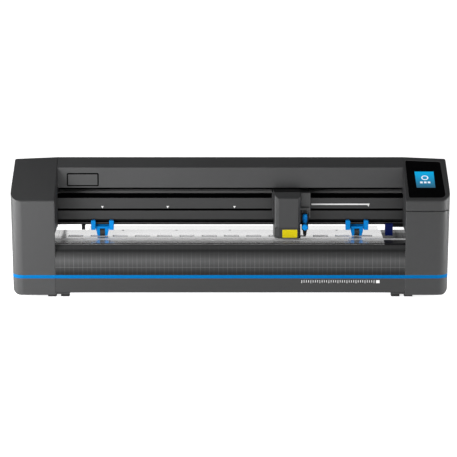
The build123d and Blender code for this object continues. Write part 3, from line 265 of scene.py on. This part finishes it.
def inner_material():
    """Dark inner walls, polished beside the media path and matt above it."""
    mat = moulded("inner_paint", (0.012, 0.012, 0.013), 0.08, 900.0, 0.000002, coat=1.0)
    tree, shader, (x, y, z) = parts_of(mat)
    tree.links.new(spread(tree, z, 0.07, 0.6, *POLISH_Z), shader.inputs["Roughness"])
    tree.links.new(spread(tree, z, 1.0, 0.0, *POLISH_Z), shader.inputs["Coat Weight"])
    return mat


BADGE_FRAME = 0.003


def badge_material():
    """A blank name plate: cover grey with a blackened frame."""
    mat = moulded("badge_paint", (0.026, 0.0263, 0.027), 0.4, shine=0.42)
    tree, shader, (x, y, z) = parts_of(mat)
    low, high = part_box("badge_plate")
    middle = above(tree, x, low[0] + BADGE_FRAME)
    limits = (
        above(tree, z, low[2] + BADGE_FRAME),
        below(tree, x, high[0] - BADGE_FRAME),
        below(tree, z, high[2] - BADGE_FRAME),
    )
    for limit in limits:
        middle = math_node(tree, "MULTIPLY", middle, limit)
    face = shader.inputs["Base Color"].links[0].from_socket
    tree.links.new(mix(tree, middle, (0.002, 0.002, 0.002), face), shader.inputs["Base Color"])
    tree.links.new(math_node(tree, "MULTIPLY", middle, 0.42), shader.inputs["Specular IOR Level"])
    return mat


# The painted highlight on the cut corner fades out between these distances from the cover's low X and low
# Y sides.
CORNER_HIGHLIGHT_X = (0.0055, 0.0062)
CORNER_HIGHLIGHT_Y = (0.0085, 0.0095)


def carriage_material():
    """Carriage cover: painted shade on its flat top, a painted highlight on the cut corner at the left."""
    mat = moulded("carriage_plastic", (0.0195, 0.0198, 0.0205), 0.42, shine=0.4)
    tree, shader, (x, y, z) = parts_of(mat)
    face = shader.inputs["Base Color"].links[0].from_socket
    low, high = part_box("carriage_cover")
    # Painted highlight on the cut corner at the left.
    corner = math_node(
        tree,
        "MULTIPLY",
        spread(tree, x, 1.0, 0.0, low[0] + CORNER_HIGHLIGHT_X[0], low[0] + CORNER_HIGHLIGHT_X[1]),
        spread(tree, y, 1.0, 0.0, low[1] + CORNER_HIGHLIGHT_Y[0], low[1] + CORNER_HIGHLIGHT_Y[1]),
    )
    painted_corner_highlight = mix(tree, corner, face, (0.05, 0.0505, 0.051))
    # Painted shade on the flat top under the top cover, with its specular level lowered.
    top = above(tree, z, high[2] - 0.0003)
    tree.links.new(mix(tree, top, painted_corner_highlight, (0.003, 0.003, 0.003)), shader.inputs["Base Color"])
    tree.links.new(spread(tree, top, 0.4, 0.1), shader.inputs["Specular IOR Level"])
    return mat


# The platen's painted light changes between these depths, darker in front and brighter towards the rear,
# and painted shade makes its front edge dark.
PLATEN_EDGE_SHADE_Y = -0.1712
PLATEN_FRONT_SHADE_Y = (-0.135, -0.114)
PLATEN_REAR_LIGHT_Y = (-0.098, -0.080)


def platen_material():
    """Bright drawn alloy, with painted shade towards the front and on its front edge, and painted light
    towards the rear.
    """
    mat, tree, shader, vector = tree_of("platen_alloy")
    x, y, z = axes(tree, vector)
    lines = noise(tree, scaled(tree, vector, (3.0, 300.0, 300.0)), 6.0, 4.0, 0.6)
    patch = noise(tree, vector, 14.0, 3.0)
    top = mix(tree, lines, (0.93, 0.93, 0.935), (0.96, 0.96, 0.965))
    top = mix(tree, spread(tree, patch, 0.0, 0.08), top, (0.86, 0.86, 0.865))
    # Painted shade in front and painted light towards the rear: the colour runs from about 0.6 to full.
    front = spread(tree, y, 0.60, 0.55, *PLATEN_FRONT_SHADE_Y)
    rear = spread(tree, y, 0.0, 0.45, *PLATEN_REAR_LIGHT_Y)
    top = mix(tree, math_node(tree, "ADD", front, rear), (0.0, 0.0, 0.0), top)
    # Painted shade on the front edge.
    top = mix(tree, above(tree, y, PLATEN_EDGE_SHADE_Y), (0.02, 0.02, 0.02), top)
    tree.links.new(top, shader.inputs["Base Color"])
    tree.links.new(spread(tree, lines, 0.15, 0.18), shader.inputs["Roughness"])
    bump(tree, shader, lines, 0.0000002, 0.3)
    shader.inputs["Metallic"].default_value = 0.65
    return mat


# ---------------------------------------------------------------- materials
GREY = (0.0215, 0.0218, 0.0224)
COVER = (0.025, 0.0253, 0.026)

housing = moulded("housing_plastic", GREY, 0.46, shine=0.42)
rounded(housing.node_tree, housing.node_tree.nodes["Principled BSDF"], 0.004)
paint(housing, "left_tower_shell", "right_tower_shell", "control_housing")
paint(carriage_material(), "carriage_cover")
paint(moulded("carriage_foot", (0.012, 0.0122, 0.0126), 0.42, shine=0.35), "carriage_base")
paint(moulded("cover_paint", COVER, 0.40, 900.0, 0.00004, shine=0.42), "top_cover")
paint(moulded("panel_paint", (0.0145, 0.0147, 0.015), 0.42, 900.0, 0.00004, shine=0.42), "front_panel")
black = moulded("black_plastic", (0.004, 0.004, 0.0045), 0.4, shine=0.2)
paint(black, "tool_clamp", "knife_holder", "media_sensor")
paint(moulded("socket_plastic", (0.018, 0.018, 0.019), 0.4), "rear_sockets", "power_rocker")
paint(inner_material(), "inner_walls")
paint(end_material(), "platen_end")
paint(moulded("plate_paint", (0.05, 0.0505, 0.051), 0.42, 700.0), "tool_plate")
paint(moulded("chassis_paint", (0.010, 0.010, 0.011), 0.5, 700.0), "carriage_chassis")
paint(moulded("stripe_blue", (0.001, 0.10, 0.28), 0.5, 1500, 0.00002, 0.05, shine=0.02), "accent_stripes")
blue = moulded("pinch_blue", (0.001, 0.18, 0.52), 0.45, 1500, 0.00003, 0.06, shine=0.06)
paint(blue, "pinch_slider_left", "pinch_slider_right", "pinch_arm_left", "pinch_arm_right")
paint(moulded("knob_blue", (0.001, 0.165, 0.47), 0.45, 1500, 0.00003, 0.06, shine=0.06), "clamp_knob")
paint(moulded("cap_blue", (0.001, 0.155, 0.44), 0.4, 1500, 0.00003, 0.06, shine=0.08), "knife_cap")
paint(lever_material(), "lift_lever")
rubber = moulded("roller_rubber", (0.016, 0.015, 0.015), 0.7, 1100, 0.0001)
paint(rubber, "pinch_roller_left", "pinch_roller_right")
paint(moulded("foot_rubber", (0.015, 0.015, 0.015), 0.8, 700, 0.00012), "feet")
paint(moulded("belt_rubber", (0.012, 0.012, 0.012), 0.75, 700, 0.0001), "drum_belt")
paint(moulded("belt_grey", (0.10, 0.10, 0.10), 0.6, 700, 0.0001), "carriage_belt")
rollers = moulded("roller_nylon", (0.55, 0.55, 0.52), 0.4)
paint(rollers, "guide_roller_left", "guide_roller_right", "guide_roller_rear")
paint(moulded("ink_white", (0.6, 0.6, 0.6), 0.5, 2000, 0.00001), "printed_marks")
paint(moulded("strip_grey", (0.70, 0.70, 0.70), 0.35, 1200), "cutting_strip")
paint(moulded("bracket_paint", (0.03, 0.03, 0.031), 0.45), "stand_brackets")
bright = metal("guide_alloy", (0.88, 0.88, 0.88), 0.14, (3.0, 300.0, 300.0), 0.000002, 1.0, 0.02)
paint(bright, "rear_guide_plate")
paint(moulded("motor_black", (0.02, 0.02, 0.021), 0.4), "motors")
paint(metal("zinc", (0.55, 0.55, 0.56), 0.35), "side_frames", "belt_brackets", "base_tray", "power_supply")
paint(metal("steel", (0.5, 0.5, 0.51), 0.25), "drum_shaft", "lift_link", "table_screws", "knife_blade")
paint(metal("dark_steel", (0.12, 0.12, 0.12), 0.35), "lift_bar")
alloy = metal("alloy", (0.7, 0.7, 0.71), 0.28)
paint(alloy, "carriage_motor_pulley", "carriage_idler_pulley", "drum_motor_pulley")
paint(platen_material(), "platen")
paint(beam_material(), "beam")
paint(metal("copper", (0.5, 0.2, 0.08), 0.3, (260.0, 260.0, 4000.0)), "lift_coil")
paint(moulded("board_green", (0.01, 0.12, 0.05), 0.35, 500), "circuit_boards")
paint(badge_material(), "badge_plate")
paint(moulded("label_yellow", (0.45, 0.37, 0.004), 0.5, 2000, 0.00001, 0.04, shine=0.05), "carriage_label")


def grit_material():
    """Sintered grit on a steel drum: coarse bright specks and a faint painted glow."""
    mat, tree, shader, vector = tree_of("drum_grit")
    specks = noise(tree, vector, 2600.0, 2.0)
    tree.links.new(mix(tree, specks, (0.75, 0.75, 0.76), (0.95, 0.95, 0.96)), shader.inputs["Base Color"])
    shader.inputs["Metallic"].default_value = 0.5
    # Painted glow: a faint emission that lifts the drums in their slots.
    shader.inputs["Emission Color"].default_value = (1.0, 1.0, 1.0, 1.0)
    shader.inputs["Emission Strength"].default_value = 0.08
    shader.inputs["Roughness"].default_value = 0.3
    bump(tree, shader, specks, 0.00012)
    return mat


paint(grit_material(), "grit_drums")


GRID_STEP = 0.0109  # between the uprights
GRID_START = 0.3995  # the grid's phase along X
GRID_LEVEL_Z = 0.0776  # height of the level line


def apron_material():
    """Dark satin moulding with printed alignment lines: uprights all along and one level line, under
    painted light and shade that changes with height.
    """
    mat, tree, shader, vector = tree_of("apron_grid")
    x, y, z = axes(tree, vector)
    mottle = noise(tree, vector, 8.0, 4.0)
    run = math_node(tree, "DIVIDE", math_node(tree, "ADD", x, GRID_START + 100 * GRID_STEP), GRID_STEP)
    upright = math_node(tree, "LESS_THAN", math_node(tree, "FRACT", run), 0.11)
    pairs = math_node(tree, "FRACT", math_node(tree, "DIVIDE", run, 2.0))
    major = math_node(tree, "LESS_THAN", pairs, 0.055)
    level = math_node(tree, "SUBTRACT", z, GRID_LEVEL_Z)
    level = math_node(tree, "LESS_THAN", math_node(tree, "ABSOLUTE", level), 0.0007)
    upright = math_node(tree, "MULTIPLY", upright, 0.30)
    major = math_node(tree, "MULTIPLY", major, 0.25)
    lines = math_node(tree, "ADD", upright, major)
    fade = spread(tree, z, 1.0, 0.25, 0.088, 0.118)
    lines = math_node(tree, "MULTIPLY", lines, fade)
    lines = math_node(tree, "ADD", lines, math_node(tree, "MULTIPLY", level, 0.65), True)
    base = mix(tree, mottle, (0.022, 0.0223, 0.0228), (0.028, 0.0283, 0.029))
    base = mix(tree, lines, base, (0.11, 0.11, 0.11))
    # Painted light and shade by height: a darker band low down, painted shade on the curved top, and a
    # painted highlight along the top lip; the specular level follows it.
    painted_low_band = math_node(tree, "MULTIPLY_ADD", spread(tree, z, 0.0, 1.0, 0.064, 0.094), 0.85)
    painted_low_band.node.inputs[2].default_value = 0.33
    painted_light_and_shade = math_node(tree, "MULTIPLY", painted_low_band, spread(tree, z, 0.92, 0.26, 0.097, 0.115))
    painted_light_and_shade = math_node(tree, "ADD", painted_light_and_shade, spread(tree, z, 0.0, 0.45, 0.118, 0.123))
    tree.links.new(mix(tree, painted_light_and_shade, (0.0, 0.0, 0.0), base), shader.inputs["Base Color"])
    tree.links.new(math_node(tree, "MULTIPLY", painted_light_and_shade, 0.55), shader.inputs["Specular IOR Level"])
    tree.links.new(spread(tree, mottle, 0.36, 0.44), shader.inputs["Roughness"])
    bump(tree, shader, noise(tree, vector, 1400.0, 2.0), 0.00004, 0.6)
    return mat


paint(apron_material(), "front_apron")
paint(moulded("rear_apron_plastic", (0.022, 0.0225, 0.023), 0.42), "rear_apron")


def glass_material():
    """Black glass with a faint smear."""
    mat, tree, shader, vector = tree_of("panel_glass")
    smear = noise(tree, vector, 30.0, 4.0)
    color = mix(tree, smear, (0.0008, 0.0008, 0.001), (0.0016, 0.0016, 0.0018))
    tree.links.new(color, shader.inputs["Base Color"])
    tree.links.new(spread(tree, smear, 0.03, 0.07), shader.inputs["Roughness"])
    bump(tree, shader, noise(tree, vector, 40.0, 2.0), 0.000005, 0.3)
    shader.inputs["Specular IOR Level"].default_value = 0.3
    return mat


paint(glass_material(), "screen_glass")
paint(moulded("lcd_frame", (0.01, 0.01, 0.01), 0.4), "lcd_module")


# ---------------------------------------------------------------- small moulded details
SLOPE_FOOT_Y = -0.190
SLOPE_FOOT_Z = 0.240
SLOPE_RUN = 0.140
SLOPE_RISE = 0.082
SLOPE_ANGLE = math.atan2(SLOPE_RISE, SLOPE_RUN)
SLOPE_NORMAL = (0.0, -math.sin(SLOPE_ANGLE), math.cos(SLOPE_ANGLE))


def mesh_piece(name, form, mat, body):
    """A piece from a bmesh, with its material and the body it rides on."""
    mesh = bpy.data.meshes.new(name)
    bmesh.ops.recalc_face_normals(form, faces=form.faces)
    form.to_mesh(mesh)
    form.free()
    piece = bpy.data.objects.new(name, mesh)
    scene.collection.objects.link(piece)
    mesh.materials.append(mat)
    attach(piece, body)
    return piece


def turned(form, centre, profile, steps):
    """A turned part: a profile of radius and distance along the Y axis."""
    rings = []
    for radius, along in profile:
        ring = []
        for index in range(steps):
            a = 2 * math.pi * index / steps
            u, v = radius * math.cos(a), radius * math.sin(a)
            ring.append(form.verts.new([c + d for c, d in zip(centre, (u, along, v))]))
        rings.append(ring)
    for one, two in zip(rings, rings[1:]):
        for index in range(steps):
            after = (index + 1) % steps
            form.faces.new((one[index], one[after], two[after], two[index]))
    form.faces.new(rings[0])
    form.faces.new(rings[-1])


def slope_point(x, s, lift):
    """A point on the sloping tower top, from X, the way up the slope and the height above it."""
    y = SLOPE_FOOT_Y + s * math.cos(SLOPE_ANGLE) + lift * SLOPE_NORMAL[1]
    z = SLOPE_FOOT_Z + s * math.sin(SLOPE_ANGLE) + lift * SLOPE_NORMAL[2]
    return (x, y, z)


# The lit area: its limits in X at the low and the high edge, and up the slope.
LCD_LOW_X = (0.449, 0.494)
LCD_HIGH_X = (0.4472, 0.4932)
LCD_X = (0.448, 0.4936)
LCD_S = (0.0488, 0.1077)


def near(tree, value, centre, reach):
    """A mask that is 1 within a reach of a value."""
    gap = math_node(tree, "ABSOLUTE", math_node(tree, "SUBTRACT", value, centre))
    return math_node(tree, "LESS_THAN", gap, reach)


def lcd_material():
    """A lit screen: a blue field that darkens downwards, a round symbol and three keys."""
    mat, tree, shader, vector = tree_of("lcd_picture")
    x, y, z = axes(tree, vector)
    z_low, z_high = (slope_point(0, s, 0)[2] for s in LCD_S)
    u = spread(tree, x, 0.0, 1.0, *LCD_X)
    v = spread(tree, z, 0.0, 1.0, z_low, z_high)
    ripple = noise(tree, vector, 160.0, 2.0)
    field = mix(tree, v, (0.028, 0.085, 0.130), (0.0027, 0.37, 0.71))
    field = mix(tree, math_node(tree, "MULTIPLY", ripple, 0.12), field, (0.0, 0.25, 0.55))
    across = math_node(tree, "MULTIPLY", math_node(tree, "SUBTRACT", u, 0.5), 0.75)
    up = math_node(tree, "SUBTRACT", v, 0.62)
    span = math_node(tree, "ADD", math_node(tree, "POWER", across, 2.0), math_node(tree, "POWER", up, 2.0))
    disc = math_node(tree, "LESS_THAN", span, 0.020)
    hole = math_node(tree, "LESS_THAN", span, 0.009)
    ring = math_node(tree, "SUBTRACT", disc, hole, True)
    cell = math_node(tree, "FRACT", math_node(tree, "MULTIPLY", u, 5.0))
    keys = math_node(tree, "MULTIPLY", near(tree, cell, 0.5, 0.34), near(tree, v, 0.33, 0.055))
    keys = math_node(tree, "MULTIPLY", keys, near(tree, u, 0.5, 0.3))
    ring = math_node(tree, "MULTIPLY", ring, 0.85)
    keys = math_node(tree, "MULTIPLY", keys, 0.85)
    white = math_node(tree, "ADD", ring, keys, True)
    picture = mix(tree, white, field, (0.85, 0.88, 0.92))
    tree.links.new(mix(tree, 0.5, (0.002, 0.002, 0.003), picture), shader.inputs["Base Color"])
    tree.links.new(picture, shader.inputs["Emission Color"])
    shader.inputs["Emission Strength"].default_value = 0.66
    tree.links.new(spread(tree, ripple, 0.08, 0.14), shader.inputs["Roughness"])
    shader.inputs["Specular IOR Level"].default_value = 0.2
    return mat


form = bmesh.new()
LCD_LIFT = (0.00002, 0.00012)
rings = []
for lift in LCD_LIFT:
    spots = [(x, LCD_S[0]) for x in LCD_LOW_X] + [(x, LCD_S[1]) for x in reversed(LCD_HIGH_X)]
    rings.append([form.verts.new(slope_point(x, s, lift)) for x, s in spots])
form.faces.new(rings[0])
form.faces.new(rings[1])
for index in range(4):
    after = (index + 1) % 4
    form.faces.new((rings[0][index], rings[0][after], rings[1][after], rings[1][index]))
mesh_piece("lcd_picture", form, lcd_material(), "base")

# Grip ribs around the clamp knob and the depth cap.
rib_blue = moulded("grip_blue", (0.001, 0.15, 0.48), 0.45, 1500, 0.00003, 0.06, shine=0.06)
KNIFE = (0.181, -0.125)
KNOB_CENTRE = (0.181, -0.139, 0.1656)
KNOB_RIBS = 20
KNOB_RIB_REACH = 0.00695
KNOB_RIB_PROFILE = ((0.0001, -0.0045), (0.0005, -0.004), (0.0005, 0.0032), (0.0001, 0.0036))
form = bmesh.new()
for index in range(KNOB_RIBS):
    a = 2 * math.pi * index / KNOB_RIBS
    x = KNOB_CENTRE[0] + KNOB_RIB_REACH * math.cos(a)
    z = KNOB_CENTRE[2] + KNOB_RIB_REACH * math.sin(a)
    turned(form, (x, KNOB_CENTRE[1], z), KNOB_RIB_PROFILE, 8)
mesh_piece("knob_grip", form, rib_blue, "knob")

CAP_RIBS = 18
CAP_RIB_R = 0.0004
CAP_RIB_ENDS = ((0.0047, 0.1745), (0.0056, 0.1895))  # distance from the axis and height
CAP_RIB_STEPS = 6


def leaning_rib(form, turn):
    """One rib of the depth cap, which leans out with the cap's side."""
    rings = []
    for reach, height in CAP_RIB_ENDS:
        x = KNIFE[0] + reach * math.cos(turn)
        y = KNIFE[1] + reach * math.sin(turn)
        ring = []
        for step in range(CAP_RIB_STEPS):
            b = 2 * math.pi * step / CAP_RIB_STEPS
            spot = (x + CAP_RIB_R * math.cos(b), y + CAP_RIB_R * math.sin(b), height)
            ring.append(form.verts.new(spot))
        rings.append(ring)
    for step in range(CAP_RIB_STEPS):
        after = (step + 1) % CAP_RIB_STEPS
        form.faces.new((rings[0][step], rings[0][after], rings[1][after], rings[1][step]))
    form.faces.new(rings[0])
    form.faces.new(rings[1])


form = bmesh.new()
for index in range(CAP_RIBS):
    leaning_rib(form, 2 * math.pi * index / CAP_RIBS)
mesh_piece("cap_grip", form, rib_blue, "depth_cap")

# Round screw heads at the rear of the towers and the cover. Each profile is radius and distance along Y.
screw_steel = metal("screw_steel", (0.10, 0.10, 0.102), 0.35, (60.0, 60.0, 60.0))
REAR_Y = 0.190
TOWER_SCREWS = ((0.450, 0.030), (0.505, 0.030), (0.450, 0.180))  # X and Z on the right tower
TOWER_SCREW_PROFILE = ((0.0033, -0.0021), (0.0033, -0.0007), (0.0026, -0.0002), (0.0006, -0.0001))
form = bmesh.new()
for side in (-1, 1):
    for x, z in TOWER_SCREWS:
        turned(form, (side * x, REAR_Y, z), TOWER_SCREW_PROFILE, 20)
mesh_piece("tower_screws", form, screw_steel, "base")

COVER_REAR_Y = 0.060
COVER_SCREW_Z = 0.215
COVER_SCREW_PITCH = 0.18
COVER_SCREW_PROFILE = ((0.0032, -0.0005), (0.0032, 0.0008), (0.0024, 0.0014), (0.0006, 0.0015))
form = bmesh.new()
for index in range(5):
    x = -2 * COVER_SCREW_PITCH + COVER_SCREW_PITCH * index
    turned(form, (x, COVER_REAR_Y, COVER_SCREW_Z), COVER_SCREW_PROFILE, 20)
mesh_piece("cover_screws", form, screw_steel, "base")

# Width of the rounding on the edges of each moulding.
EDGE_ROUNDS = {
    "left_tower_shell": 0.0006,
    "right_tower_shell": 0.0006,
    "control_housing": 0.0006,
    "top_cover": 0.0005,
    "carriage_cover": 0.0006,
    "carriage_base": 0.0006,
    "front_panel": 0.0004,
    "pinch_slider_left": 0.0005,
    "pinch_slider_right": 0.0005,
    "pinch_arm_left": 0.0005,
    "pinch_arm_right": 0.0005,
    "lift_lever": 0.0005,
    "clamp_knob": 0.0004,
}
SHARP_ANGLE = math.radians(32)
ROUND_ANGLE = math.radians(35)
for name, node in nodes.items():
    node.data.shade_smooth()
    node.data.set_sharp_from_angle(angle=SHARP_ANGLE)
    if name in EDGE_ROUNDS:
        rounding = node.modifiers.new("edge_round", "BEVEL")
        rounding.width = EDGE_ROUNDS[name]
        rounding.segments = 2
        rounding.limit_method = "ANGLE"
        rounding.angle_limit = ROUND_ANGLE
        rounding.harden_normals = True


# ---------------------------------------------------------------- stage, lights and camera
FLOOR_GLOW = 0.82
FLOOR_HALF = 40.0
floor_mesh = bpy.data.meshes.new("floor")
floor_form = bmesh.new()
bmesh.ops.create_grid(floor_form, x_segments=2, y_segments=2, size=FLOOR_HALF)
floor_form.to_mesh(floor_mesh)
floor_form.free()
floor = bpy.data.objects.new("floor", floor_mesh)
scene.collection.objects.link(floor)
floor_mat, floor_tree, floor_shader, floor_vector = tree_of("floor_pale")
floor_shade = noise(floor_tree, floor_vector, 2.0)
floor_color = mix(floor_tree, floor_shade, (0.95, 0.95, 0.95), (0.97, 0.97, 0.97))
floor_tree.links.new(floor_color, floor_shader.inputs["Base Color"])
floor_shader.inputs["Roughness"].default_value = 0.9
floor_shader.inputs["Specular IOR Level"].default_value = 0.1
floor_shader.inputs["Emission Color"].default_value = (1.0, 1.0, 1.0, 1.0)
floor_shader.inputs["Emission Strength"].default_value = FLOOR_GLOW
floor_mesh.materials.append(floor_mat)

# The room's light by direction: bright at the horizon, dark overhead, brighter at the left and rear.
HORIZON_LIGHT = 0.92
ZENITH_LIGHT = 0.02
world = bpy.data.worlds.new("studio")
world.use_nodes = True
sky = world.node_tree
direction = sky.nodes.new("ShaderNodeTexCoord").outputs["Generated"]
side, depth, height = axes(sky, direction)
glow = spread(sky, height, HORIZON_LIGHT, ZENITH_LIGHT, 0.30, 0.52)
glow = math_node(sky, "MULTIPLY", glow, spread(sky, side, 1.06, 0.66, -0.8, 0.8))
glow = math_node(sky, "MULTIPLY", glow, spread(sky, depth, 0.85, 1.25, 0.2, 0.8))
sky.nodes["Background"].inputs[0].default_value = (1.0, 1.0, 1.0, 1.0)
sky.links.new(glow, sky.nodes["Background"].inputs[1])
scene.world = world


def softbox(name, place, aim, size, power):
    """A rectangular area light at a place, aimed at a point."""
    light = bpy.data.lights.new(name, "AREA")
    light.shape = "RECTANGLE"
    light.size, light.size_y = size
    light.energy = power
    holder = bpy.data.objects.new(name, light)
    scene.collection.objects.link(holder)
    holder.location = place
    gap = [a - p for a, p in zip(aim, place)]
    flat = math.hypot(gap[0], gap[1])
    holder.rotation_euler = (math.atan2(flat, -gap[2]), 0.0, math.atan2(-gap[0], gap[1]))


def sunlight(name, towards, strength, angle):
    """A soft sun that shines from a direction, with its angle in degrees."""
    light = bpy.data.lights.new(name, "SUN")
    light.energy = strength
    light.angle = math.radians(angle)
    holder = bpy.data.objects.new(name, light)
    scene.collection.objects.link(holder)
    flat = math.hypot(towards[0], towards[1])
    holder.rotation_euler = (math.atan2(flat, towards[2]), 0.0, math.atan2(towards[0], -towards[1]))


sunlight("overhead", (-0.25, -0.15, 0.95), 0.4, 60.0)
softbox("key_front_left", (-1.5, -1.5, 0.60), (-0.45, 0.0, 0.2), (1.0, 0.8), 40)
softbox("strip_left", (-1.5, -0.20, 0.30), (-0.2, -0.15, 0.18), (0.25, 0.6), 13)
softbox("strip_right", (1.5, -0.25, 0.35), (0.4, -0.1, 0.15), (0.25, 0.6), 12)
softbox("edge_light", (0.0, -2.4, 2.0), (0.0, -0.1, 0.2), (3.0, 0.12), 20)

LENS = 179.4
CAMERA_PLACE = (-0.0043, -5.5336, 1.30896)
CAMERA_TILT = math.radians(78.0)
camera_data = bpy.data.cameras.new("camera")
camera_data.sensor_width = 36.0
camera_data.lens = LENS
camera = bpy.data.objects.new("camera", camera_data)
scene.collection.objects.link(camera)
camera.location = CAMERA_PLACE
camera.rotation_euler = (CAMERA_TILT, 0.0, 0.0)
scene.camera = camera
scene.view_settings.view_transform = "Standard"
